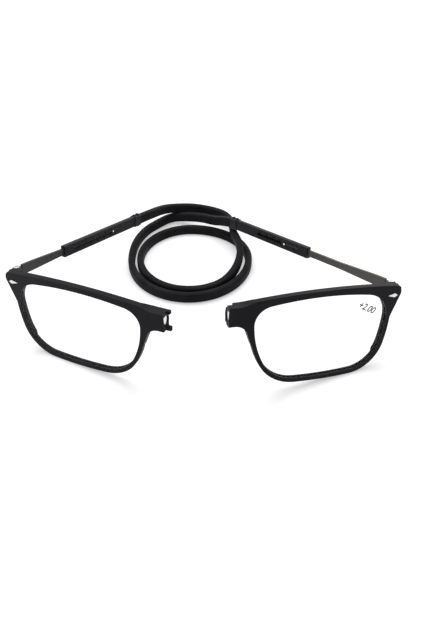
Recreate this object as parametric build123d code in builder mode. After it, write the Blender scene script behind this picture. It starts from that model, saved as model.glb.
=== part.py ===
"""Reading glasses in two halves that join by magnets at the bridge, with a neck band.

Each half has a front with its lens, a hinged metal arm and a sleeve in which the arm slides.
A flat rubber band, coiled here in two turns, joins both sleeves behind the neck.
"""
import os
from dataclasses import dataclass
from math import cos, radians, sin, sqrt, tan

from build123d import *

os.makedirs("parts", exist_ok=True)

# Frame of one half: X runs outwards from the bridge end, Y back, Z up; Z = 0 is the datum line.
# The front's face follows a wide arc in plan.
FRONT_RADIUS = 700.0

# Lens opening: a box with four corners as shares of its width and height, bulging sides.
OPENING_START = 9.4
OPENING_WIDTH = 52.2
OPENING_HEIGHT = 30.8
OPENING_LOW = -14.6
CORNER_SHARES = ((0, 1), (1, 0.943), (0.956, 0), (0.197, 0.038))
CORNER_RADII = (6.5, 11.5, 11.8, 17.0)
SIDE_BULGES = (2.8, 2.0, 1.1, 3.4)

# Rim and brow.
RIM_WIDTH = 1.6
RIM_DEPTH = 2.2
BROW_START = 8.9
BROW_TOP = 19.5
BROW_BULGE = 1.6
BROW_CORNER = 6.0

# Bridge block at the inner end.
BLOCK_TOP = 18.1
BLOCK_LOW = 11.0
BLOCK_LENGTH = 5.2
BLOCK_DEPTH = 4.0
BLOCK_SHOULDER = 6.0
BLOCK_THROAT = 5.2
NOSE_START = 5.7
NOSE_FOOT = 8.8
NOSE_FOOT_Z = 2.5

# End piece at the outer end.
END_REACH = 5.7
END_TOP = 17.9
END_SLANT = 0.8
END_WAIST_Z = 15.2
END_FOOT_INSET = 3.6
END_FOOT_Z = 4.0
END_LENGTH = 6.8
END_DEPTH = 3.0
END_TOP_CORNER = 1.5
END_WAIST_CORNER = 2.5

# Lens and its groove.
LENS_THICKNESS = 1.7
LENS_FLANGE = 0.8
GROOVE_DEPTH = 0.5
LENS_CLEARANCE = 0.03

# Bridge magnet, flat in front and arched behind, in its housing.
MAGNET_HEIGHT = 4.0
MAGNET_FLAT = 2.4
MAGNET_ARCH = 0.9
MAGNET_LENGTH = 2.0
MAGNET_RECESS = 0.4
MAGNET_CLEARANCE = 0.03
HOUSING_FRONT = 0.6
HOUSING_WALL = 0.45
HOUSING_LENGTH = 3.2

# Locating lugs at the block's rear: one flush with its top, one below it.
LUG_SIZE = 1.25
LUG_LENGTH = 1.35
LUG_ROOT = 2.5
LUG_GRIP = 0.45
LOW_LUG_HEIGHT = 1.6
LUG_ROUND = 0.35
LUG_CLEARANCE = 0.1
LUG_NOTCH = 2.2

# Hinge: a bracket let into the back of the end piece, three knuckles and a screw.
HINGE_INSET = 2.3
HINGE_BACK = 4.7
KNUCKLE_RADIUS = 1.6
KNUCKLE_LOW = 12.2
KNUCKLE_HIGH = 17.5
KNUCKLE_FIXED = 1.6
KNUCKLE_GAP = 0.06
SCREW_RADIUS = 0.6
SCREW_GRIP = 0.02
SCREW_RUNNING = 0.05
SCREW_HEAD_RADIUS = 1.1
SCREW_HEAD = 0.5
SCREW_SLOT = 0.3
SCREW_SLOT_DEPTH = 0.25
PLATE_INNER = 2.6
PLATE_OUTER = 1.8
PLATE_THICKNESS = 0.8
PLATE_FLOOR = 2.2
WEB_WIDTH = 2.8

# Decorative rivet: a flat kite, pointed towards the lens, on a shank.
RIVET_INSET = 3.8
RIVET_Z = 14.5
RIVET_LENGTH = 3.9
RIVET_HEIGHT = 1.6
RIVET_WIDEST_SHARE = 0.7
RIVET_PROUD = 0.25
RIVET_SEAT = 0.35
RIVET_SHANK = 0.5
RIVET_GRIP = 0.02

# Arm: a blade that widens towards the hinge, with a detent pin near its tip.
BLADE_THICKNESS = 1.0
BLADE_HEIGHT = 2.6
BLADE_ROOT_HEIGHT = 3.9
BLADE_START = 2.1
BLADE_ROOT = 7.0
BLADE_WAIST = 25.0
BLADE_END = 60.3
ARM_CENTRE_Z = 16.0
PIN_PLACE = 58.0
PIN_RADIUS = 0.45
PIN_PROUD = 0.5
PIN_TENON = 0.3

# Sleeve that the arm slides in, and the collar that holds the band.
SLEEVE_LENGTH = 49.0
SLEEVE_HEIGHT = 4.8
SLEEVE_THICKNESS = 2.4
SLEEVE_ROUND = 0.5
SLIDE_CLEARANCE = 0.05
CAVITY_LENGTH = 45.0
DETENT_FIRST = 5.5
DETENT_PITCH = 4.5
DETENTS = 7
NOTCH_LENGTH = 3.4
NOTCH_WIDTH = 0.9
NOTCH_DEPTH = 0.45
NOTCH_TILT = 55.0
TENON_LENGTH = 2.2
TENON_HEIGHT = 2.6
TENON_THICKNESS = 1.2
COLLAR_LENGTH = 4.5
COLLAR_HEIGHT = 5.0
COLLAR_THICKNESS = 3.15
COLLAR_ROUND = 0.4
NUB_LENGTH = 0.9
NUB_HEIGHT = 0.55
NUB_THICKNESS = 1.4
NUB_INSET = 0.5

# Band: a flat rubber strap that stands on its edge.
BAND_THICKNESS = 3.15
BAND_HEIGHT = 4.6
BAND_ROUND = 1.1
BAND_FLOOR = 0.05

# Coil: two clockwise turns, wound outwards, the first lead passing over the turns.
COIL_X = -6.23
COIL_Y = 36.213
COIL_STRETCH_SHARE = 1.139
COIL_INNER = 23.51
COIL_OUTER = 27.66
COIL_ENTRY = 36.45
COIL_EXIT = 35.4
COIL_ENTRY_Z = 5.6
COIL_CROSSING_Z = 7.6
ENTRY_ANGLE = -74.1
CROSSING_ANGLE = -31.4
CROSSING_SPAN = 12.0
QUARTER_TURNS = 6
QUARTER_TURN = 90.0
ENTRY_SPAN = 53.6
WIDEN_ANGLE = 275.2
WIDEN_SPAN = 91.1
LEAVE_ANGLE = 536.7
LEAVE_SPAN = 89.4
ANGLE_STEP = 0.5
COIL_STRAIGHT = 2.2

# Leads: points of the two free stretches between the collars and the coil.
LEAD_RIGHT = ((-10.587, 79.753, 6.202), (-20.325, 70.004, 10.076))
LEAD_LEFT = ((-0.257, 74.398, 2.95), (10.638, 62.346, 5.899))
LEAD_RUN = 9.0
LEAD_END_RUN = 7.0
CORNER_SHARE = 0.45

# Measuring steps along the coil.
GAP_STEP = 1.0
GAP_APART = 60.0


@dataclass
class Half:
    """Where one half stands: its bridge end, its turns in degrees and its arm's setting."""
    name: str
    side: int
    x: float
    y: float
    yaw: float
    lean: float
    roll: float
    arm_drop: float
    arm_swing: float
    detent: int


LEFT = Half("left", 1, 8.872, -54.511, 17.464, 7.46, -4.963, 5.0, 17.27, 2)
RIGHT = Half("right", -1, -11.906, -52.371, 23.395, 0.933, -2.005, 10.714, 5.515, 6)

CUT_OVERRUN = 1.0

HALF_WIDTH = OPENING_START + OPENING_WIDTH + END_REACH
END_START = HALF_WIDTH - END_LENGTH
END_FOOT = HALF_WIDTH - END_FOOT_INSET
HINGE_X = HALF_WIDTH - HINGE_INSET
RIVET_X = HALF_WIDTH - RIVET_INSET


def face_y(x):
    """Depth of the front's curved face at a distance from the bridge end."""
    return FRONT_RADIUS - sqrt(FRONT_RADIUS**2 - x**2)


HINGE_Y = face_y(HINGE_X) + HINGE_BACK
MAGNET_Z = (BLOCK_TOP + BLOCK_LOW) / 2
PLATE_X = HINGE_X + (PLATE_OUTER - PLATE_INNER) / 2
PLATE_Z = (KNUCKLE_LOW + KNUCKLE_HIGH) / 2
PLATE_Y = face_y(HINGE_X) + PLATE_FLOOR
KNUCKLE_MIDDLE = KNUCKLE_HIGH - KNUCKLE_LOW - 2 * KNUCKLE_FIXED
LENS_BACK = (RIM_DEPTH + LENS_THICKNESS) / 2
LENS_FACE = (RIM_DEPTH - LENS_THICKNESS) / 2
FLANGE_BACK = (RIM_DEPTH + LENS_FLANGE) / 2
FLANGE_FACE = (RIM_DEPTH - LENS_FLANGE) / 2
SLOT_WIDTH = 2 * (PIN_RADIUS + SLIDE_CLEARANCE)
DETENT_TRAVEL = (DETENTS - 1) * DETENT_PITCH


def opening_sketch(grow):
    """Outline of the lens opening, moved outwards by an amount."""
    corners = [(OPENING_START + OPENING_WIDTH * across, OPENING_LOW + OPENING_HEIGHT * up)
               for across, up in CORNER_SHARES]
    with BuildSketch(mode=Mode.PRIVATE) as outline:
        with BuildLine():
            for start, end, bulge in zip(corners, corners[1:] + corners[:1], SIDE_BULGES):
                SagittaArc(start, end, bulge)
        make_face()
        for corner, radius in zip(corners, CORNER_RADII):
            place = Vector(*corner)
            fillet(outline.vertices().sort_by_distance(place)[0], radius)
        if grow:
            offset(amount=grow)
    with BuildSketch(mode=Mode.PRIVATE) as arcs:
        with BuildLine():
            for edge in outline.edges():
                ThreePointArc(edge @ 0, edge @ (1 / 2), edge @ 1)
        make_face()
    return arcs.sketch


def brow_sketch():
    """Outline of the brow with the bridge block and the end piece."""
    top_end = (HALF_WIDTH - END_SLANT, END_TOP)
    inside_z = (END_FOOT_Z + NOSE_FOOT_Z) / 2
    with BuildSketch(mode=Mode.PRIVATE) as outline:
        with BuildLine():
            Polyline((BROW_START, BROW_TOP), (BLOCK_LENGTH, BLOCK_TOP), (0, BLOCK_TOP), (0, BLOCK_LOW),
                     (NOSE_START, BLOCK_LOW), (NOSE_FOOT, NOSE_FOOT_Z),
                     (OPENING_START + OPENING_WIDTH / 2, inside_z),
                     (END_FOOT, END_FOOT_Z), (HALF_WIDTH, END_WAIST_Z), top_end)
            SagittaArc((BROW_START, BROW_TOP), top_end, BROW_BULGE)
        make_face()
        rounds = (((BROW_START, BROW_TOP), BROW_CORNER), ((BLOCK_LENGTH, BLOCK_TOP), BLOCK_SHOULDER),
                  ((NOSE_START, BLOCK_LOW), BLOCK_THROAT), ((HALF_WIDTH, END_WAIST_Z), END_WAIST_CORNER),
                  (top_end, END_TOP_CORNER))
        for corner, radius in rounds:
            place = Vector(*corner)
            fillet(outline.vertices().sort_by_distance(place)[0], radius)
    return outline.sketch


def plan_sketch(start, end, near, far):
    """Strip in plan between two depths behind the curved face."""
    middle = (start + end) / 2
    near_points = [(x, face_y(x) + near) for x in (start, middle, end)]
    far_points = [(x, face_y(x) + far) for x in (end, middle, start)]
    with BuildSketch(mode=Mode.PRIVATE) as strip:
        with BuildLine():
            ThreePointArc(*near_points)
            Line(near_points[-1], far_points[0])
            ThreePointArc(*far_points)
            Line(far_points[-1], near_points[0])
        make_face()
    return strip.sketch


def magnet_sketch(grow):
    """Outline of the bridge magnet, flat in front and arched behind, grown by an amount."""
    low = MAGNET_Z - MAGNET_HEIGHT / 2
    high = MAGNET_Z + MAGNET_HEIGHT / 2
    arch_start = HOUSING_FRONT + MAGNET_FLAT
    with BuildSketch(mode=Mode.PRIVATE) as outline:
        with BuildLine():
            Polyline((arch_start, high), (HOUSING_FRONT, high), (HOUSING_FRONT, low), (arch_start, low))
            ThreePointArc((arch_start, low), (arch_start + MAGNET_ARCH, MAGNET_Z), (arch_start, high))
        make_face()
        if grow:
            offset(amount=grow)
    return outline.sketch


def lug_sketch(grow):
    """Sections of the two locating lugs, grown by an amount."""
    lug_y = BLOCK_DEPTH - LUG_SIZE / 2
    with BuildSketch(mode=Mode.PRIVATE) as lugs:
        with Locations((lug_y, BLOCK_TOP - LUG_SIZE / 2)):
            Rectangle(LUG_SIZE + 2 * grow, LUG_SIZE + 2 * grow)
        with Locations((lug_y, BLOCK_LOW + LUG_GRIP - LOW_LUG_HEIGHT / 2)):
            Rectangle(LUG_SIZE + 2 * grow, LOW_LUG_HEIGHT + 2 * grow)
    return lugs.sketch


def front(half):
    """Front of one half: rim, brow, bridge block and end piece in one moulding."""
    height = BROW_TOP + BROW_BULGE - OPENING_LOW * 2
    deepest = face_y(HALF_WIDTH) + BLOCK_DEPTH
    with BuildPart() as piece:
        with BuildSketch(Plane.XZ):
            add(brow_sketch())
            add(opening_sketch(RIM_WIDTH))
            add(opening_sketch(0), mode=Mode.SUBTRACT)
        extrude(amount=-deepest)
        with BuildSketch(Plane.XY.offset(OPENING_LOW * 2)):
            add(plan_sketch(0, HALF_WIDTH + CUT_OVERRUN, 0, RIM_DEPTH))
            add(plan_sketch(END_START, HALF_WIDTH + CUT_OVERRUN, 0, END_DEPTH))
            with BuildLine():
                Polyline((0, RIM_DEPTH / 2), (0, BLOCK_DEPTH), (BLOCK_LENGTH, BLOCK_DEPTH),
                         (BLOCK_LENGTH + BLOCK_DEPTH, face_y(BLOCK_LENGTH + BLOCK_DEPTH) + RIM_DEPTH),
                         (BLOCK_LENGTH + BLOCK_DEPTH, RIM_DEPTH / 2), close=True)
            make_face()
        extrude(amount=height, mode=Mode.INTERSECT)
        with BuildSketch(Plane.YZ):
            add(magnet_sketch(HOUSING_WALL))
        extrude(amount=HOUSING_LENGTH)
        if half.side < 0:
            with BuildSketch(Plane.YZ.offset(LUG_ROOT)):
                add(lug_sketch(0))
            extrude(amount=-LUG_ROOT - LUG_LENGTH)
            tips = piece.faces().sort_by(Axis.X)[:2]
            fillet(tips[0].edges() + tips[1].edges(), LUG_ROUND)
        else:
            with BuildSketch(Plane.YZ):
                add(lug_sketch(LUG_CLEARANCE))
            extrude(amount=LUG_NOTCH, mode=Mode.SUBTRACT)
        with BuildSketch(Plane.YZ):
            add(magnet_sketch(MAGNET_CLEARANCE))
        extrude(amount=MAGNET_RECESS + MAGNET_LENGTH, mode=Mode.SUBTRACT)
        add(flanged_band(GROOVE_DEPTH, FLANGE_FACE, FLANGE_BACK), mode=Mode.SUBTRACT)
        with BuildSketch(Plane.XZ.offset(-PLATE_Y)):
            with Locations((PLATE_X, PLATE_Z)):
                Rectangle(PLATE_INNER + PLATE_OUTER, KNUCKLE_HIGH - KNUCKLE_LOW)
        extrude(amount=-END_DEPTH, mode=Mode.SUBTRACT)
        with BuildSketch(Plane.XZ.offset(-face_y(RIVET_X) - RIVET_SEAT)):
            add(rivet_sketch(RIVET_GRIP))
        extrude(amount=END_DEPTH, mode=Mode.SUBTRACT)
        with BuildSketch(Plane.XZ):
            with Locations((RIVET_X, RIVET_Z)):
                Circle(RIVET_SHANK + RIVET_GRIP)
        extrude(amount=-deepest, mode=Mode.SUBTRACT)
    return piece


def flanged_band(grow, near, far):
    """Solid of the lens outline, grown by an amount, between two depths behind the face."""
    with BuildPart(mode=Mode.PRIVATE) as ring:
        with BuildSketch(Plane.XZ):
            add(opening_sketch(grow))
        extrude(amount=-face_y(HALF_WIDTH) - far)
        with BuildSketch(Plane.XY.offset(OPENING_LOW * 2)):
            add(plan_sketch(0, HALF_WIDTH, near, far))
        extrude(amount=OPENING_HEIGHT - OPENING_LOW * 2, mode=Mode.INTERSECT)
    return ring.part


def lens(half):
    """Lens with a bevel flange that sits in the rim's groove."""
    with BuildPart() as piece:
        add(flanged_band(-LENS_CLEARANCE, LENS_FACE, LENS_BACK))
        add(flanged_band(GROOVE_DEPTH - LENS_CLEARANCE, FLANGE_FACE + LENS_CLEARANCE,
                         FLANGE_BACK - LENS_CLEARANCE))
    return piece


def bridge_magnet(half):
    """Magnet, set back a little from the block's end face."""
    with BuildPart() as piece:
        with BuildSketch(Plane.YZ.offset(MAGNET_RECESS)):
            add(magnet_sketch(0))
        extrude(amount=MAGNET_LENGTH)
    return piece


def hinge_bracket(half):
    """Plate in the end piece with the two outer knuckles of the hinge."""
    with BuildPart() as piece:
        with BuildSketch(Plane.XZ.offset(-PLATE_Y)):
            with Locations((PLATE_X, PLATE_Z)):
                Rectangle(PLATE_INNER + PLATE_OUTER, KNUCKLE_HIGH - KNUCKLE_LOW)
        extrude(amount=-PLATE_THICKNESS)
        for low in (KNUCKLE_LOW, KNUCKLE_HIGH - KNUCKLE_FIXED):
            with BuildSketch(Plane.XY.offset(low)):
                with Locations((HINGE_X, HINGE_Y)):
                    Circle(KNUCKLE_RADIUS)
                with Locations((HINGE_X, (HINGE_Y + PLATE_Y) / 2)):
                    Rectangle(WEB_WIDTH, HINGE_Y - PLATE_Y)
            extrude(amount=KNUCKLE_FIXED)
        with BuildSketch(Plane.XY.offset(KNUCKLE_LOW)):
            with Locations((HINGE_X, HINGE_Y)):
                Circle(SCREW_RADIUS + SCREW_GRIP)
        extrude(amount=KNUCKLE_HIGH - KNUCKLE_LOW, mode=Mode.SUBTRACT)
        with BuildSketch(Plane.XZ.offset(-PLATE_Y)):
            with Locations((RIVET_X, RIVET_Z)):
                Circle(RIVET_SHANK + RIVET_GRIP)
        extrude(amount=-PLATE_THICKNESS, mode=Mode.SUBTRACT)
    return piece


def hinge_screw(half):
    """Screw through the three knuckles, its slotted head on top."""
    with BuildPart() as piece:
        with BuildSketch(Plane.XY.offset(KNUCKLE_LOW)):
            with Locations((HINGE_X, HINGE_Y)):
                Circle(SCREW_RADIUS)
        extrude(amount=KNUCKLE_HIGH - KNUCKLE_LOW)
        with BuildSketch(Plane.XY.offset(KNUCKLE_HIGH)):
            with Locations((HINGE_X, HINGE_Y)):
                Circle(SCREW_HEAD_RADIUS)
        extrude(amount=SCREW_HEAD)
        with BuildSketch(Plane.XY.offset(KNUCKLE_HIGH + SCREW_HEAD)):
            with Locations((HINGE_X, HINGE_Y)):
                Rectangle(SCREW_HEAD_RADIUS * 2, SCREW_SLOT)
        extrude(amount=-SCREW_SLOT_DEPTH, mode=Mode.SUBTRACT)
    return piece


def rivet_sketch(grow):
    """Kite outline of the decorative rivet, grown by an amount."""
    inner = RIVET_X - RIVET_LENGTH / 2
    outer = RIVET_X + RIVET_LENGTH / 2
    widest = inner + RIVET_LENGTH * RIVET_WIDEST_SHARE
    with BuildSketch(mode=Mode.PRIVATE) as kite:
        with BuildLine():
            Polyline((inner, RIVET_Z), (widest, RIVET_Z + RIVET_HEIGHT / 2), (outer, RIVET_Z),
                     (widest, RIVET_Z - RIVET_HEIGHT / 2), close=True)
        make_face()
        if grow:
            offset(amount=grow)
    return kite.sketch


def decorative_rivet(half):
    """Kite-shaped head let into the face, with a shank that ends in the bracket."""
    seat_y = face_y(RIVET_X) + RIVET_SEAT
    with BuildPart() as piece:
        with BuildSketch(Plane.XZ.offset(-seat_y)):
            add(rivet_sketch(0))
        extrude(amount=RIVET_SEAT + RIVET_PROUD)
        with BuildSketch(Plane.XZ.offset(-seat_y)):
            with Locations((RIVET_X, RIVET_Z)):
                Circle(RIVET_SHANK)
        extrude(amount=seat_y - PLATE_Y - PLATE_THICKNESS)
    return piece


def arm_plane(half, distance):
    """Plane square to the arm: X across it outwards, Y up its height, Z along it, backwards."""
    drop = radians(half.arm_drop)
    swing = radians(half.arm_swing)
    back = Vector(-sin(swing), cos(swing), 0)
    along = back * cos(drop) - Vector(0, 0, sin(drop))
    across = Vector(cos(swing), sin(swing), 0)
    start = Vector(HINGE_X, HINGE_Y, ARM_CENTRE_Z)
    return Plane(origin=start + along * distance, x_dir=across, z_dir=-along)


def side_plane(half):
    """Plane through the arm's middle: X along it, backwards, Y up its height."""
    square = arm_plane(half, 0)
    return Plane(origin=square.origin, x_dir=-square.z_dir, z_dir=square.x_dir)


def temple_arm(half):
    """Metal arm: the middle knuckle of the hinge and a blade that narrows backwards."""
    root = BLADE_ROOT_HEIGHT / 2
    edge = BLADE_HEIGHT / 2
    knuckle_z = KNUCKLE_LOW + KNUCKLE_FIXED + KNUCKLE_GAP
    knuckle_height = KNUCKLE_MIDDLE - 2 * KNUCKLE_GAP
    swing = Rotation(0, 0, half.arm_swing)
    with BuildPart() as piece:
        with BuildSketch(side_plane(half)):
            with BuildLine():
                Polyline((BLADE_START, root), (BLADE_ROOT, root), (BLADE_WAIST, edge),
                         (BLADE_END - edge, edge))
                Polyline((BLADE_START, root), (BLADE_START, -root), (BLADE_ROOT, -root),
                         (BLADE_WAIST, -edge), (BLADE_END - edge, -edge))
                ThreePointArc((BLADE_END - edge, edge), (BLADE_END, 0), (BLADE_END - edge, -edge))
            make_face()
        extrude(amount=BLADE_THICKNESS / 2, both=True)
        with BuildSketch(Plane.XY.offset(knuckle_z)):
            with Locations((HINGE_X, HINGE_Y)):
                Circle(KNUCKLE_RADIUS)
            with Locations(Location((HINGE_X, HINGE_Y)) * swing):
                Rectangle(BLADE_THICKNESS, BLADE_START + BLADE_THICKNESS, align=(Align.CENTER, Align.MIN))
        extrude(amount=knuckle_height)
        with BuildSketch(Plane.XY.offset(knuckle_z)):
            with Locations((HINGE_X, HINGE_Y)):
                Circle(SCREW_RADIUS + SCREW_RUNNING)
        extrude(amount=knuckle_height, mode=Mode.SUBTRACT)
        with BuildSketch(side_plane(half)):
            with Locations((PIN_PLACE, 0)):
                Circle(PIN_TENON)
        extrude(amount=BLADE_THICKNESS / 2, both=True, mode=Mode.SUBTRACT)
    return piece


def detent_pin(half):
    """Round pin on the arm's inner side that runs in the sleeve's slot."""
    with BuildPart() as piece:
        with BuildSketch(side_plane(half)):
            with Locations((PIN_PLACE, 0)):
                Circle(PIN_TENON)
        extrude(amount=BLADE_THICKNESS / 2, both=True)
        with BuildSketch(side_plane(half).offset(-BLADE_THICKNESS / 2)):
            with Locations((PIN_PLACE, 0)):
                Circle(PIN_RADIUS)
        extrude(amount=-PIN_PROUD)
    return piece


def sleeve_start(half):
    """Distance from the hinge to the sleeve's front end, set by the detent in use."""
    return PIN_PLACE - DETENT_FIRST - half.detent * DETENT_PITCH


def sleeve(half):
    """Moulded sleeve: cavity for the arm, slot for its pin, notches and a tenon behind."""
    start = sleeve_start(half)
    cavity = (BLADE_THICKNESS + 2 * SLIDE_CLEARANCE, BLADE_HEIGHT + 2 * SLIDE_CLEARANCE)
    inner_face = side_plane(half).offset(-SLEEVE_THICKNESS / 2)
    slot_middle = start + DETENT_FIRST + DETENT_TRAVEL / 2
    notches = [start + DETENT_FIRST + DETENT_PITCH * (place + 1 / 2) for place in range(DETENTS - 1)]
    with BuildPart() as piece:
        with BuildSketch(arm_plane(half, start)):
            RectangleRounded(SLEEVE_THICKNESS, SLEEVE_HEIGHT, SLEEVE_ROUND)
        extrude(amount=-SLEEVE_LENGTH)
        with BuildSketch(arm_plane(half, start)):
            Rectangle(*cavity)
        extrude(amount=-CAVITY_LENGTH, mode=Mode.SUBTRACT)
        with BuildSketch(arm_plane(half, start + SLEEVE_LENGTH)):
            Rectangle(TENON_THICKNESS, TENON_HEIGHT)
        extrude(amount=-TENON_LENGTH)
        with BuildSketch(inner_face):
            with Locations((slot_middle, 0)):
                SlotCenterToCenter(DETENT_TRAVEL, SLOT_WIDTH)
        extrude(amount=SLEEVE_THICKNESS / 2, mode=Mode.SUBTRACT)
        with BuildSketch(inner_face):
            for place in notches:
                with Locations(Location((place, 0)) * Rotation(0, 0, NOTCH_TILT)):
                    SlotOverall(NOTCH_LENGTH, NOTCH_WIDTH)
        extrude(amount=NOTCH_DEPTH, mode=Mode.SUBTRACT)
    return piece


def band_collar(half):
    """Collar between sleeve and band, with small nubs along its upper and lower edge."""
    start = sleeve_start(half) + SLEEVE_LENGTH
    nub_ends = (start + NUB_INSET, start + COLLAR_LENGTH - NUB_INSET - NUB_LENGTH)
    nubs = [(place + NUB_LENGTH / 2, COLLAR_HEIGHT / 2) for place in nub_ends]
    nubs.append((nub_ends[-1] + NUB_LENGTH / 2, -COLLAR_HEIGHT / 2))
    with BuildPart() as piece:
        with BuildSketch(arm_plane(half, start)):
            RectangleRounded(COLLAR_THICKNESS, COLLAR_HEIGHT, COLLAR_ROUND)
        extrude(amount=-COLLAR_LENGTH)
        with BuildSketch(side_plane(half)):
            with Locations(*nubs):
                Rectangle(NUB_LENGTH, NUB_HEIGHT * 2)
        extrude(amount=NUB_THICKNESS / 2, both=True)
        with BuildSketch(arm_plane(half, start)):
            Rectangle(TENON_THICKNESS, TENON_HEIGHT)
        extrude(amount=-TENON_LENGTH, mode=Mode.SUBTRACT)
    return piece


def placed(shape, half, lift):
    """A shape, mirrored for the wearer's right, moved to where its half stands."""
    turns = (Rotation(0, 0, half.side * half.yaw) * Rotation(-half.lean, 0, 0)
             * Rotation(0, -half.side * half.roll, 0))
    if half.side < 0:
        shape = shape.mirror(Plane.YZ)
    return shape.moved(Location((half.x, half.y, lift)) * turns)


def rim_lift(half):
    """Height of the bridge end's datum that stands the front on its lower rim."""
    return -placed(front(half).part, half, 0).bounding_box().min.Z


PIECES = (front, lens, bridge_magnet, hinge_bracket, hinge_screw, decorative_rivet, temple_arm,
          detent_pin, sleeve, band_collar)

LIFTS = {half.name: rim_lift(half) for half in (LEFT, RIGHT)}

for half in (LEFT, RIGHT):
    for make in PIECES:
        node = f"{make.__name__}_{half.name}"
        piece = make(half)
        piece.part = placed(piece.part, half, LIFTS[half.name])
        piece.part.label = node
        export_step(piece.part, f"parts/{node}.step")


def ease(share):
    """Smooth step from 0 to 1."""
    share = min(max(share, 0), 1)
    return share * share * (3 - 2 * share)


def coil_point(angle):
    """Middle of the strap at a clockwise angle from +X."""
    radius = COIL_ENTRY + (COIL_INNER - COIL_ENTRY) * ease((angle - ENTRY_ANGLE) / ENTRY_SPAN)
    radius += (COIL_OUTER - COIL_INNER) * ease((angle - WIDEN_ANGLE) / WIDEN_SPAN)
    radius += (COIL_EXIT - COIL_OUTER) * ease((angle - LEAVE_ANGLE) / LEAVE_SPAN)
    floor_z = BAND_HEIGHT / 2 + BAND_FLOOR
    rise = ease((angle - ENTRY_ANGLE) / (CROSSING_ANGLE - ENTRY_ANGLE))
    fall = ease((angle - CROSSING_ANGLE - CROSSING_SPAN) / (QUARTER_TURN - CROSSING_SPAN))
    z = COIL_ENTRY_Z + (COIL_CROSSING_Z - COIL_ENTRY_Z) * rise + (floor_z - COIL_CROSSING_Z) * fall
    turn = radians(angle)
    return Vector(COIL_X + radius * cos(turn), COIL_Y - COIL_STRETCH_SHARE * radius * sin(turn), z)


def coil_heading(angle):
    """Direction of the strap at a clockwise angle from +X."""
    return (coil_point(angle + ANGLE_STEP) - coil_point(angle - ANGLE_STEP)).normalized()


def biarc(start, start_heading, end, end_heading):
    """Two arcs that join two points with given headings."""
    span = end - start
    headings = start_heading + end_heading
    bend = 2 * (1 - start_heading.dot(end_heading))
    reach = (sqrt(span.dot(headings)**2 + bend * span.dot(span)) - span.dot(headings)) / bend
    first = start + start_heading * reach
    last = end - end_heading * reach
    joint = (first + last) / 2
    TangentArc(start, joint, tangent=start_heading)
    TangentArc(joint, end, tangent=last - first)


def strap(path, node, guide=None):
    """Flat strap along a path that starts upright; a guide keeps its height turned upwards."""
    begin = path.position_at(0)
    heading = path.tangent_at(0)
    with BuildPart() as band:
        with BuildSketch(Plane(origin=begin, x_dir=heading.cross(Vector(0, 0, 1)), z_dir=heading)):
            RectangleRounded(BAND_THICKNESS, BAND_HEIGHT, BAND_ROUND)
        sweep(path=path, binormal=guide)
    area = band.faces().sort_by_distance(begin)[0].area
    print(node, "length", round(path.length, 1), "volume over section times length",
          round(band.part.volume / (area * path.length), 3))
    band.part.label = node
    export_step(band.part, f"parts/{node}.step")


def least_gap(wire):
    """Least gap between stretches of a strap that lie well apart along it."""
    count = int(wire.length / GAP_STEP)
    points = [wire.position_at(place / count) for place in range(count + 1)]
    apart = int(GAP_APART / GAP_STEP)
    gaps = []
    for place, point in enumerate(points):
        for other in points[place + apart:]:
            beside = sqrt((other.X - point.X)**2 + (other.Y - point.Y)**2) - BAND_THICKNESS
            above = abs(other.Z - point.Z) - BAND_HEIGHT
            gaps.append(max(beside, above))
    return min(gaps)


def lead_radii(points):
    """Radius of each corner of a lead: as large as its two runs allow."""
    radii = []
    for before, corner, after in zip(points, points[1:], points[2:]):
        turn = (corner - before).get_angle(after - corner)
        shorter = min((corner - before).length, (after - corner).length)
        radii.append(CORNER_SHARE * shorter / tan(radians(turn) / 2))
    return radii


def collar_rear(half):
    """Middle of the collar's rear face and the direction in which the band leaves it."""
    rear = arm_plane(half, sleeve_start(half) + SLEEVE_LENGTH + COLLAR_LENGTH)
    exit_line = placed(Edge.make_line(rear.origin, rear.origin - rear.z_dir), half, LIFTS[half.name])
    return exit_line.position_at(0), exit_line.tangent_at(0)


first_turn = CROSSING_ANGLE + QUARTER_TURN / 2
turn_angles = [ENTRY_ANGLE, CROSSING_ANGLE]
turn_angles += [first_turn + QUARTER_TURN * place for place in range(QUARTER_TURNS + 1)]
turn_angles.append(turn_angles[-1] + QUARTER_TURN / 2)
coil_points = [coil_point(angle) for angle in turn_angles]
coil_headings = [coil_heading(angle) for angle in turn_angles]
coil_start = coil_points[0] - coil_headings[0] * COIL_STRAIGHT
coil_end = coil_points[-1] + coil_headings[-1] * COIL_STRAIGHT
with BuildLine() as coil_line:
    Line(coil_start, coil_points[0])
    for place in range(len(turn_angles) - 1):
        biarc(coil_points[place], coil_headings[place], coil_points[place + 1], coil_headings[place + 1])
    Line(coil_points[-1], coil_end)
coil_wire = coil_line.wire()
strap(coil_wire, "band_coil", coil_wire.moved(Location((0, 0, BAND_HEIGHT))))
print("least gap of the coil to itself", round(least_gap(coil_wire), 2))

right_rear, right_exit = collar_rear(RIGHT)
left_rear, left_exit = collar_rear(LEFT)
lead_right_points = [coil_start, coil_start - coil_headings[0] * LEAD_END_RUN,
                     *[Vector(*point) for point in LEAD_RIGHT],
                     right_rear + right_exit * LEAD_RUN, right_rear]
lead_left_points = [coil_end, coil_end + coil_wire.tangent_at(1) * LEAD_END_RUN,
                    *[Vector(*point) for point in LEAD_LEFT],
                    left_rear + left_exit * LEAD_END_RUN, left_rear]
for node, points in (("band_lead_right", lead_right_points), ("band_lead_left", lead_left_points)):
    radii = lead_radii(points)
    print(node, "radii", [round(radius, 1) for radius in radii])
    print([tuple(round(value, 2) for value in point) for point in points])
    with BuildLine() as lead_line:
        FilletPolyline(*points, radius=radii)
    strap(lead_line.wire(), node)
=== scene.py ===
from math import cos, pi, radians, sin, sqrt

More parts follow.
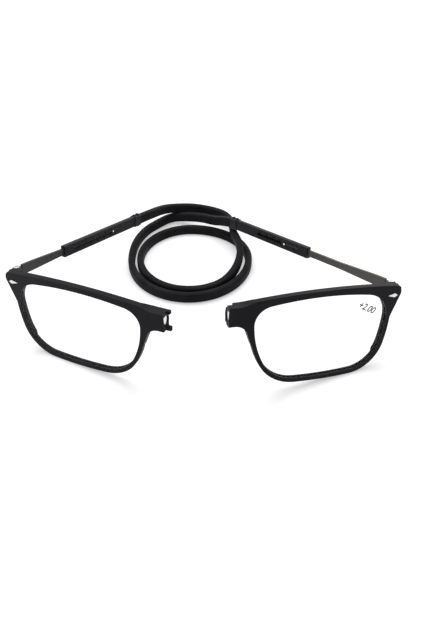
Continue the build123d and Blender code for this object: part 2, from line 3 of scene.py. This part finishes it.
import bpy
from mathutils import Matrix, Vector


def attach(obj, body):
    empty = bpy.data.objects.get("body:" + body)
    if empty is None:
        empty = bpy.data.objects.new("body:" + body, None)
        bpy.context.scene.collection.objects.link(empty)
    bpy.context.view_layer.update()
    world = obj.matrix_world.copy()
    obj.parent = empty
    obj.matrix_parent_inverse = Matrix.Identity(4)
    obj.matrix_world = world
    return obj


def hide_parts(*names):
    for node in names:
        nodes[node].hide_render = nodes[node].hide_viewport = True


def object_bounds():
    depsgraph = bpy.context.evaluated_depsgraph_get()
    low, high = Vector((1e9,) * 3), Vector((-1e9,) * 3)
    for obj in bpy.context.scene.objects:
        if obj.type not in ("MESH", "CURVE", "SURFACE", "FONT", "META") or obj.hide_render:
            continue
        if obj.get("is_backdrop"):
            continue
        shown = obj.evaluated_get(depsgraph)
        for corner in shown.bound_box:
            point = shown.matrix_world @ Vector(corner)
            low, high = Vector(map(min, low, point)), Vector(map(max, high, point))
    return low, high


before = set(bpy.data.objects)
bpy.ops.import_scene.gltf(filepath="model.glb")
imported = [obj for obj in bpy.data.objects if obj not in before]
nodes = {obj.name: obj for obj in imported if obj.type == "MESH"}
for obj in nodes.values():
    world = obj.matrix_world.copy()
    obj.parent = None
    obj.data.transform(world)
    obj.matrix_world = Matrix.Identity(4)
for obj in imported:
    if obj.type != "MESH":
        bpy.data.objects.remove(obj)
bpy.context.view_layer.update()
scene = bpy.context.scene
MM = 0.001

# Camera: the photograph's angle and frame, 631 pixels on the long side.
FRAME_HEIGHT = 631
FOCAL_PIXELS = 613.6
SENSOR = 36
CLIP_START = 0.01
CAMERA_PLACE = Vector((3.374, -210.229, 160.963)) * MM
CAMERA_AIM = Vector((3.374, -5.066, 0)) * MM

camera_data = bpy.data.cameras.new("camera")
camera_data.sensor_width = SENSOR
camera_data.lens = FOCAL_PIXELS / FRAME_HEIGHT * SENSOR
camera_data.clip_start = CLIP_START
camera = bpy.data.objects.new("camera", camera_data)
camera.location = CAMERA_PLACE
camera.rotation_euler = (CAMERA_AIM - CAMERA_PLACE).to_track_quat("-Z", "Y").to_euler()
scene.collection.objects.link(camera)
scene.camera = camera

# Band route, in millimetres: the right lead, the coil and the left lead.
BAND_THICKNESS = 3.15
BAND_HEIGHT = 4.6
BAND_ROUND = 1.1
COIL_CENTRE = (-6.23, 36.213)
COIL_STRETCH = 1.139
COIL_INNER = 23.51
COIL_OUTER = 27.66
COIL_ENTRY = 37.1
COIL_EXIT = 35.4
COIL_ENTRY_Z = 5.6
COIL_CROSSING_Z = 7.6
COIL_FLOOR_Z = 2.35
ENTRY_ANGLE = -74.1
ENTRY_SPAN = 50.0
RISE_SPAN = 42.7
FALL_ANGLE = -19.4
FALL_SPAN = 78.0
WIDEN_ANGLE = 275.2
WIDEN_SPAN = 91.1
LEAVE_ANGLE = 536.7
LEAVE_SPAN = 89.4
COIL_ANGLES = (ENTRY_ANGLE, -60, -46, -32, -18, -4, 12, 30, 50, *range(70, 590, 19), 598.6)
LEAD_RIGHT = ((-30.99, 48.46, 16.44), (-26.67, 56.15, 14.65), (-20.4, 70.2, 10.2),
              (-12.6, 77.6, 6.9), (-5.2, 79.4, 5.9))
LEAD_LEFT = ((-17.3, 75.3, 2.6), (-8.9, 72.6, 4.4), (-0.6, 68.7, 6.0), (5.0, 62.2, 7.9),
             (9.9, 56.9, 10.8), (14.08, 51.67, 12.74))
COLLAR_RIGHT_UP = Vector((0.064656, 0.191055, 0.979448))
COLLAR_LEFT_UP = Vector((-0.005901, 0.220039, 0.975473))
TWIST_RIGHT = 45.0
TWIST_LEFT = 40.0
PATH_STEP = 0.8
CURVE_STEPS = 24
CORNER_STEPS = 5


def ease(share):
    """Smooth step from 0 to 1."""
    share = min(max(share, 0), 1)
    return share * share * (3 - 2 * share)


def coil_point(angle):
    """Middle of the strap at a clockwise angle from +X, in millimetres."""
    radius = COIL_ENTRY + (COIL_INNER - COIL_ENTRY) * ease((angle - ENTRY_ANGLE) / ENTRY_SPAN)
    radius += (COIL_OUTER - COIL_INNER) * ease((angle - WIDEN_ANGLE) / WIDEN_SPAN)
    radius += (COIL_EXIT - COIL_OUTER) * ease((angle - LEAVE_ANGLE) / LEAVE_SPAN)
    rise = ease((angle - ENTRY_ANGLE) / RISE_SPAN)
    fall = ease((angle - FALL_ANGLE) / FALL_SPAN)
    z = COIL_ENTRY_Z + (COIL_CROSSING_Z - COIL_ENTRY_Z) * rise + (COIL_FLOOR_Z - COIL_CROSSING_Z) * fall
    turn = radians(angle)
    return (COIL_CENTRE[0] + radius * cos(turn), COIL_CENTRE[1] - COIL_STRETCH * radius * sin(turn), z)


def pulled_out(points):
    """Control points moved so that the spline passes near the given points."""
    moved = []
    for before, point, after in zip(points, points[1:], points[2:]):
        middle = (Vector(before) + Vector(after)) / 2
        moved.append(tuple(Vector(point) + (Vector(point) - middle) / 4))
    return [points[0], *moved, points[-1]]


coil = pulled_out([coil_point(angle) for angle in COIL_ANGLES])
route = [*LEAD_RIGHT, *coil, *LEAD_LEFT]

curve = bpy.data.curves.new("band_route", "CURVE")
curve.dimensions = "3D"
curve.resolution_u = CURVE_STEPS
spline = curve.splines.new("NURBS")
spline.points.add(len(route) - 1)
for control, point in zip(spline.points, route):
    control.co = (*(Vector(point) * MM), 1)
spline.order_u = 3
spline.use_endpoint_u = True
route_object = bpy.data.objects.new("band_route", curve)
scene.collection.objects.link(route_object)
bpy.context.view_layer.update()
route_mesh = bpy.data.meshes.new_from_object(route_object)
raw_path = [vertex.co.copy() for vertex in route_mesh.vertices]
bpy.data.objects.remove(route_object)


def even_path(points, step):
    """Points at an even step along a polyline."""
    lengths = [0]
    for a, b in zip(points, points[1:]):
        lengths.append(lengths[-1] + (b - a).length)
    count = round(lengths[-1] / step)
    even = []
    place = 0
    for number in range(count + 1):
        target = lengths[-1] * number / count
        while place < len(points) - 2 and lengths[place + 1] < target:
            place += 1
        share = (target - lengths[place]) / (lengths[place + 1] - lengths[place])
        even.append(points[place].lerp(points[place + 1], share))
    return even, lengths[-1]


path, path_length = even_path(raw_path, PATH_STEP * MM)


def rounded_profile(width, height, radius):
    """Closed outline of a rounded rectangle, counter-clockwise."""
    outline = []
    for number, (x, y) in enumerate(((1, 1), (-1, 1), (-1, -1), (1, -1))):
        centre = (x * (width / 2 - radius), y * (height / 2 - radius))
        for step in range(CORNER_STEPS + 1):
            turn = pi / 2 * (number + step / CORNER_STEPS)
            outline.append((centre[0] + radius * cos(turn), centre[1] + radius * sin(turn)))
    return outline


def strap_mesh(name, line, ups, outline):
    """Mesh of a strap that follows a line, with its height along the given directions."""
    vertices = []
    for number, point in enumerate(line):
        before = line[max(number - 1, 0)]
        after = line[min(number + 1, len(line) - 1)]
        heading = (after - before).normalized()
        side = heading.cross(ups[number]).normalized()
        up = side.cross(heading)
        vertices.extend(point + side * x + up * y for x, y in outline)
    count = len(outline)
    faces = []
    for ring in range(len(line) - 1):
        for place in range(count):
            following = (place + 1) % count
            faces.append((ring * count + place, (ring + 1) * count + place,
                          (ring + 1) * count + following, ring * count + following))
    faces.append(tuple(range(count)))
    faces.append(tuple(reversed(range((len(line) - 1) * count, len(line) * count))))
    mesh = bpy.data.meshes.new(name)
    mesh.from_pydata([tuple(vertex) for vertex in vertices], [], faces)
    mesh.validate()
    mesh.shade_smooth()
    piece = bpy.data.objects.new(name, mesh)
    scene.collection.objects.link(piece)
    return piece


def band_up(place):
    """Direction of the strap's height at a distance along it, in metres."""
    begin = 1 - ease(place / (TWIST_RIGHT * MM))
    end = 1 - ease((path_length - place) / (TWIST_LEFT * MM))
    up = Vector((0, 0, 1)).lerp(COLLAR_RIGHT_UP, begin)
    return up.lerp(COLLAR_LEFT_UP, end).normalized()


ups = [band_up(path_length * number / (len(path) - 1)) for number in range(len(path))]
profile = [(x * MM, y * MM) for x, y in rounded_profile(BAND_THICKNESS, BAND_HEIGHT, BAND_ROUND)]
band = strap_mesh("band_strap", path, ups, profile)
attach(band, "band")
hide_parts("band_lead_left", "band_coil", "band_lead_right")

# Materials: lengths in metres, noise scales in turns per metre.
PATCH_SCALE = 90.0
PATCH_SPAN = (0.35, 0.7)
GRAIN_DEPTH = 0.0001
EDGE = 0.0003
EDGE_SAMPLES = 12
# Painted edge highlight: how far the rounded normal turns from the true normal at an edge, and the share of
# the lighter colour there.
PAINTED_HIGHLIGHT_SPAN = (0.995, 0.9)
PAINTED_HIGHLIGHT_SHARE = 0.7
LINE_SPAN = (0.3, 0.75)
LINE_DEPTH = 0.00005
LINE_STRENGTH = 0.15
METAL_EDGE = 0.00012
METAL_SAMPLES = 6
SMEAR_SCALE = 60.0
LENS_ROUGHNESS = (0.01, 0.05)
LENS_SHEEN = (0.004, 0.3)
LENS_STEEPNESS = 4.0
LENS_FACE_SPAN = (0.5, 0.7)
INK_SCALE = 3000.0
INK_SPAN = (0.3, 0.7)
INK_ROUGHNESS = 0.6


def new_material(name):
    """A node material, its shader and a function that adds and links nodes."""
    material = bpy.data.materials.new(name)
    material.use_nodes = True
    tree = material.node_tree
    shader = tree.nodes["Principled BSDF"]

    def node(kind, **settings):
        made = tree.nodes.new(kind)
        for key, value in settings.items():
            if key in made.inputs:
                made.inputs[key].default_value = value
            else:
                setattr(made, key, value)
        return made

    return material, tree, shader, node


def ramp_of(node, span, colours):
    """Colour ramp that runs between two colours over a span."""
    ramp = node("ShaderNodeValToRGB")
    for element, place, colour in zip(ramp.color_ramp.elements, span, colours):
        element.position = place
        element.color = (*colour, 1)
    return ramp


def range_of(node, into, out_of=(0.0, 1.0)):
    """Map Range node that turns one span into another."""
    made = node("ShaderNodeMapRange")
    made.inputs["From Min"].default_value, made.inputs["From Max"].default_value = out_of
    made.inputs["To Min"].default_value, made.inputs["To Max"].default_value = into
    return made


def softened(node, link, height, edge, samples, strength, depth):
    """Normal of a surface with rounded edges and a relief that follows a height."""
    soft = node("ShaderNodeBevel", samples=samples)
    soft.inputs["Radius"].default_value = edge
    relief = node("ShaderNodeBump", Strength=strength, Distance=depth)
    link(soft.outputs["Normal"], relief.inputs["Normal"])
    link(height, relief.inputs["Height"])
    return soft.outputs["Normal"], relief.outputs["Normal"]


def grained(name, colours, rough, grain, bump, specular, edge=EDGE, painted_highlight=None):
    """Material with a fine grain, patchy sheen and softened edges, and a lighter painted highlight along the
    edges if asked.
    """
    material, tree, shader, node = new_material(name)
    link = tree.links.new
    place = node("ShaderNodeTexCoord")
    patches = node("ShaderNodeTexNoise", Scale=PATCH_SCALE, Detail=4.0, Roughness=0.6)
    fine = node("ShaderNodeTexNoise", Scale=grain, Detail=3.0, Roughness=0.6)
    link(place.outputs["Object"], patches.inputs["Vector"])
    link(place.outputs["Object"], fine.inputs["Vector"])
    tint = ramp_of(node, PATCH_SPAN, colours)
    link(patches.outputs["Fac"], tint.inputs["Fac"])
    sheen = range_of(node, rough)
    link(patches.outputs["Fac"], sheen.inputs["Value"])
    link(sheen.outputs["Result"], shader.inputs["Roughness"])
    rounded, relief = softened(node, link, fine.outputs["Fac"], edge, EDGE_SAMPLES, bump, GRAIN_DEPTH)
    link(relief, shader.inputs["Normal"])
    # Painted highlight: where the rounded normal turns away from the true normal, at the edges, a lighter
    # colour is mixed into the base colour.
    if painted_highlight:
        shape = node("ShaderNodeNewGeometry")
        turned = node("ShaderNodeVectorMath", operation="DOT_PRODUCT")
        link(rounded, turned.inputs[0])
        link(shape.outputs["True Normal"], turned.inputs[1])
        highlight_mask = range_of(node, (0.0, PAINTED_HIGHLIGHT_SHARE), PAINTED_HIGHLIGHT_SPAN)
        link(turned.outputs["Value"], highlight_mask.inputs["Value"])
        mix = node("ShaderNodeMix", data_type="RGBA")
        link(highlight_mask.outputs["Result"], mix.inputs["Factor"])
        link(tint.outputs["Color"], mix.inputs[6])
        mix.inputs[7].default_value = (*painted_highlight, 1)
        link(mix.outputs[2], shader.inputs["Base Color"])
    else:
        link(tint.outputs["Color"], shader.inputs["Base Color"])
    shader.inputs["Specular IOR Level"].default_value = specular
    return material


def brushed(name, colours, rough, metallic, stretch):
    """Metal with fine lines along its length."""
    material, tree, shader, node = new_material(name)
    link = tree.links.new
    place = node("ShaderNodeTexCoord")
    lay = node("ShaderNodeMapping")
    lay.inputs["Scale"].default_value = stretch
    lines = node("ShaderNodeTexNoise", Scale=1.0, Detail=5.0, Roughness=0.7)
    link(place.outputs["Object"], lay.inputs["Vector"])
    link(lay.outputs["Vector"], lines.inputs["Vector"])
    tint = ramp_of(node, LINE_SPAN, colours)
    link(lines.outputs["Fac"], tint.inputs["Fac"])
    link(tint.outputs["Color"], shader.inputs["Base Color"])
    sheen = range_of(node, rough)
    link(lines.outputs["Fac"], sheen.inputs["Value"])
    link(sheen.outputs["Result"], shader.inputs["Roughness"])
    relief = softened(node, link, lines.outputs["Fac"], METAL_EDGE, METAL_SAMPLES, LINE_STRENGTH,
                      LINE_DEPTH)[1]
    link(relief, shader.inputs["Normal"])
    shader.inputs["Metallic"].default_value = metallic
    return material


def clear_lens(name):
    """Clear plastic whose two faces, but not its edge, reflect more towards grazing angles."""
    material, tree, shader, node = new_material(name)
    link = tree.links.new
    shader.inputs["Base Color"].default_value = (1, 1, 1, 1)
    shader.inputs["Metallic"].default_value = 1.0
    smears = node("ShaderNodeTexNoise", Scale=SMEAR_SCALE, Detail=3.0)
    place = node("ShaderNodeTexCoord")
    link(place.outputs["Object"], smears.inputs["Vector"])
    sheen = range_of(node, LENS_ROUGHNESS)
    link(smears.outputs["Fac"], sheen.inputs["Value"])
    link(sheen.outputs["Result"], shader.inputs["Roughness"])
    shape = node("ShaderNodeNewGeometry")
    slant = node("ShaderNodeLayerWeight", Blend=0.5)
    link(shape.outputs["True Normal"], slant.inputs["Normal"])
    steep = node("ShaderNodeMath", operation="POWER")
    steep.inputs[1].default_value = LENS_STEEPNESS
    gloss = range_of(node, LENS_SHEEN)
    link(slant.outputs["Facing"], steep.inputs[0])
    link(steep.outputs["Value"], gloss.inputs["Value"])
    facing = node("ShaderNodeSeparateXYZ")
    own = node("ShaderNodeVectorTransform", vector_type="NORMAL", convert_from="WORLD", convert_to="OBJECT")
    link(shape.outputs["True Normal"], own.inputs["Vector"])
    link(own.outputs["Vector"], facing.inputs["Vector"])
    size = node("ShaderNodeMath", operation="ABSOLUTE")
    link(facing.outputs["Y"], size.inputs[0])
    face = range_of(node, (0.0, 1.0), LENS_FACE_SPAN)
    link(size.outputs["Value"], face.inputs["Value"])
    clear = node("ShaderNodeMath", operation="MULTIPLY")
    link(gloss.outputs["Result"], clear.inputs[0])
    link(face.outputs["Result"], clear.inputs[1])
    link(clear.outputs["Value"], shader.inputs["Alpha"])
    return material


def grey(value, red=0.0, blue=0.0):
    """Linear colour of a grey level from 0 to 255, with a little more red or blue."""
    level = (value / 255) ** 2.2
    return (level * (1 + red), level, level * (1 + blue))


# The front, sleeve and collar carry a lighter painted highlight along their edges.
materials = {
    "front": grained("front_plastic", (grey(27, 0.08, 0.3), grey(34, 0.08, 0.3)), (0.36, 0.5), 2600.0, 0.12,
                     specular=0.08, edge=0.00025, painted_highlight=grey(50, 0.05, 0.2)),
    "lens": clear_lens("lens_clear"),
    "bridge_magnet": brushed("magnet_metal", (grey(215), grey(240)), (0.16, 0.3), 1.0, (900, 900, 900)),
    "hinge_bracket": brushed("bracket_metal", (grey(52), grey(66)), (0.35, 0.5), 0.8, (1500, 1500, 300)),
    "hinge_screw": brushed("screw_metal", (grey(190), grey(225)), (0.2, 0.4), 1.0, (2500, 2500, 2500)),
    "decorative_rivet": brushed("rivet_metal", (grey(200), grey(235)), (0.18, 0.35), 1.0, (1200, 1200, 3000)),
    # The two arms are one metal in two brightnesses: the left arm painted lighter and the right arm painted
    # darker, as painted light and shade.
    "temple_arm_left": brushed("arm_metal_left", (grey(70, 0.05, -0.03), grey(84, 0.05, -0.03)),
                               (0.35, 0.5), 0.7, (400, 400, 2500)),
    "temple_arm_right": brushed("arm_metal_right", (grey(52), grey(64)), (0.35, 0.5), 0.6, (400, 400, 2500)),
    "detent_pin": brushed("pin_metal", (grey(225), grey(245)), (0.1, 0.2), 1.0, (1500, 1500, 1500)),
    "sleeve": grained("sleeve_plastic", (grey(36, 0.05, 0.15), grey(46, 0.05, 0.15)), (0.4, 0.52),
                      3200.0, 0.12, specular=0.1, painted_highlight=grey(66)),
    "band_collar": grained("collar_plastic", (grey(36), grey(48)), (0.3, 0.45), 2000.0, 0.2,
                           specular=0.15, painted_highlight=grey(72)),
    "band": grained("band_rubber", (grey(33, 0.03, 0.12), grey(44, 0.03, 0.12)), (0.42, 0.56), 2200.0, 0.15,
                    specular=0.03, edge=0.0001),
}


def dress(piece, material):
    """Gives a piece one material."""
    piece.data.materials.clear()
    piece.data.materials.append(material)


for name, piece in nodes.items():
    kind = name.rsplit("_", 1)[0]
    if name in materials:
        dress(piece, materials[name])
    elif kind in materials:
        dress(piece, materials[kind])
dress(band, materials["band"])

# Frame of each half: its bridge end's datum and its directions outwards, back and up.
HALVES = {
    "left": (Vector((8.872, -54.511, 21.386)), Vector((0.9537, 0.288267, -0.08578)),
             Vector((-0.297566, 0.945832, -0.129834)), Vector((0.043707, 0.149348, 0.987818))),
    "right": (Vector((-11.906, -52.371, 18.521)), Vector((-0.917454, 0.396302, -0.034982)),
              Vector((0.397015, 0.917668, -0.016283)), Vector((-0.025649, 0.028827, 0.999255))),
}
FRONT_RADIUS = 700.0
LENS_FACE = 0.25


def spot(side, x, y, z):
    """World place, in metres, of a point given in millimetres in a half's frame."""
    origin, out, back, up = HALVES[side]
    return (origin + out * x + back * y + up * z) * MM


# Power figures printed on the wearer's left lens.
FIGURES = "+2.00"
FIGURES_PLACE = (53.2, 10.9)
FIGURES_SIZE = 3.6
FIGURES_STROKE = 0.05
FIGURES_TILT = -28.0
FIGURES_SLANT = 0.15
FIGURES_THICKNESS = 0.02
FIGURES_PROUD = 0.03
figures_data = bpy.data.curves.new("power_figures", "FONT")
figures_data.body = FIGURES
figures_data.size = FIGURES_SIZE * MM
figures_data.align_x = "CENTER"
figures_data.align_y = "CENTER"
figures_data.extrude = FIGURES_THICKNESS * MM
figures_data.shear = FIGURES_SLANT
figures_data.offset = FIGURES_STROKE * MM
figures_curve = bpy.data.objects.new("figures_curve", figures_data)
scene.collection.objects.link(figures_curve)
bpy.context.view_layer.update()
figures_mesh = bpy.data.meshes.new_from_object(figures_curve)
bpy.data.objects.remove(figures_curve)
figures_x, figures_z = FIGURES_PLACE
slope = figures_x / FRONT_RADIUS
face_back = FRONT_RADIUS - sqrt(FRONT_RADIUS**2 - figures_x**2) + LENS_FACE
tilt = radians(FIGURES_TILT)
for vertex in figures_mesh.vertices:
    across = vertex.co.x / MM
    high = vertex.co.y / MM
    x = across * cos(tilt) - high * sin(tilt)
    z = across * sin(tilt) + high * cos(tilt)
    depth = face_back + x * slope - vertex.co.z / MM - FIGURES_PROUD
    vertex.co = spot("left", figures_x + x, depth, figures_z + z)
figures = bpy.data.objects.new("power_figures", figures_mesh)
scene.collection.objects.link(figures)
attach(figures, "front_left")
ink, ink_tree, ink_shader, ink_node = new_material("figure_ink")
ink_grain = ink_node("ShaderNodeTexNoise", Scale=INK_SCALE, Detail=2.0)
ink_tint = ramp_of(ink_node, INK_SPAN, (grey(40), grey(58)))
ink_tree.links.new(ink_grain.outputs["Fac"], ink_tint.inputs["Fac"])
ink_tree.links.new(ink_tint.outputs["Color"], ink_shader.inputs["Base Color"])
ink_shader.inputs["Roughness"].default_value = INK_ROUGHNESS
dress(figures, ink)


def background_rays(tree):
    """Output that is 1 for the rays that show the background: camera, transmission and glossy."""
    rays = tree.nodes.new("ShaderNodeLightPath")
    seen = rays.outputs["Is Camera Ray"]
    for kind in ("Is Transmission Ray", "Is Glossy Ray"):
        either = tree.nodes.new("ShaderNodeMath")
        either.operation = "MAXIMUM"
        tree.links.new(seen, either.inputs[0])
        tree.links.new(rays.outputs[kind], either.inputs[1])
        seen = either.outputs["Value"]
    return seen


# Stage: a pale floor that shows white and keeps the shadows, under a white sky.
FLOOR_REACH = 4
FLOOR_SHADE = 0.8
FLOOR_ROUGHNESS = 0.9
FLOOR_LIFT = 0.4
SKY_LIGHT = 0.45
floor_mesh = bpy.data.meshes.new("floor")
floor_corners = [(x * FLOOR_REACH, y * FLOOR_REACH, 0) for x, y in ((-1, -1), (1, -1), (1, 1), (-1, 1))]
floor_mesh.from_pydata(floor_corners, [], [(0, 1, 2, 3)])
floor = bpy.data.objects.new("floor", floor_mesh)
scene.collection.objects.link(floor)
floor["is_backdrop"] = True
paper, paper_tree, paper_shader, paper_node = new_material("paper")
paper_shader.inputs["Base Color"].default_value = (FLOOR_SHADE, FLOOR_SHADE, FLOOR_SHADE, 1)
paper_shader.inputs["Roughness"].default_value = FLOOR_ROUGHNESS
paper_shader.inputs["Specular IOR Level"].default_value = 0.0
paper_shader.inputs["Emission Color"].default_value = (1, 1, 1, 1)
lift = paper_node("ShaderNodeMath", operation="MULTIPLY")
lift.inputs[1].default_value = FLOOR_LIFT
paper_tree.links.new(background_rays(paper_tree), lift.inputs[0])
paper_tree.links.new(lift.outputs["Value"], paper_shader.inputs["Emission Strength"])
dress(floor, paper)

world = bpy.data.worlds.new("world")
scene.world = world
world.use_nodes = True
sky_tree = world.node_tree
sky = sky_tree.nodes["Background"]
sky.inputs["Color"].default_value = (1, 1, 1, 1)
sky_level = sky_tree.nodes.new("ShaderNodeMapRange")
sky_level.inputs["To Min"].default_value = SKY_LIGHT
sky_tree.links.new(background_rays(sky_tree), sky_level.inputs["Value"])
sky_tree.links.new(sky_level.outputs["Result"], sky.inputs["Strength"])


# Lamps: name, place and side in metres, power in watts.
LAMPS = (("top_box", (-0.1, 0.25, 0.8), 0.7, 4.6), ("back_box", (0.45, 0.8, 0.5), 0.5, 1.2))


def softbox(name, place, size, energy):
    """Square area lamp that points at the middle of the floor."""
    data = bpy.data.lights.new(name, "AREA")
    data.size = size
    data.energy = energy
    lamp = bpy.data.objects.new(name, data)
    lamp.location = place
    lamp.rotation_euler = (-Vector(place)).to_track_quat("-Z", "Y").to_euler()
    scene.collection.objects.link(lamp)


for lamp_values in LAMPS:
    softbox(*lamp_values)

scene.view_settings.view_transform = "Standard"

low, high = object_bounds()
